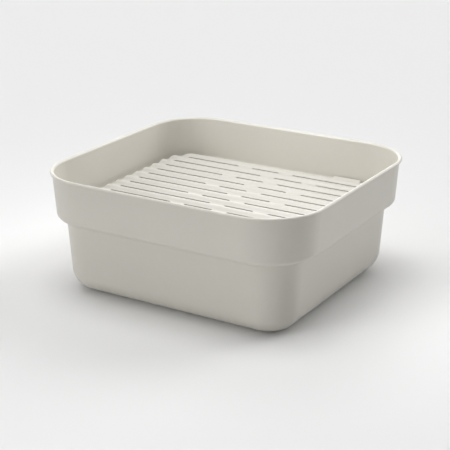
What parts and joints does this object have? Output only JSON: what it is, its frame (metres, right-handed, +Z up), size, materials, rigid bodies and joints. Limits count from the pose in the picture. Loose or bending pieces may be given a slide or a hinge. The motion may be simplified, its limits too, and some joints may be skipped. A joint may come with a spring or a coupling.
{
  "type": "draining tub",
  "caption": "Stepped rectangular tub with rounded corners and a loose, corrugated, slotted drainer tray resting on its inner ledge.",
  "frame": {"origin": "centre of the tub's underside, on the surface it stands on", "axes": "+Z up through the open mouth, +X along the tub's longer side, +Y towards the long side that has the tray's finger tab"},
  "size_m": [0.315, 0.294, 0.132],
  "materials": {
    "tub_plastic": "smooth matt, warm light grey",
    "tray_plastic": "smooth matt, warm light grey"
  },
  "bodies": {
    "tub": {"tub": "tub_plastic"},
    "tray": {"drainer_tray": "tray_plastic"}
  },
  "joints": [
    {"name": "tray_lift", "type": "slide", "parent": "tub", "child": "tray", "axis": [0, 0, 1], "range_m": [0, 0.07]}
  ]
}
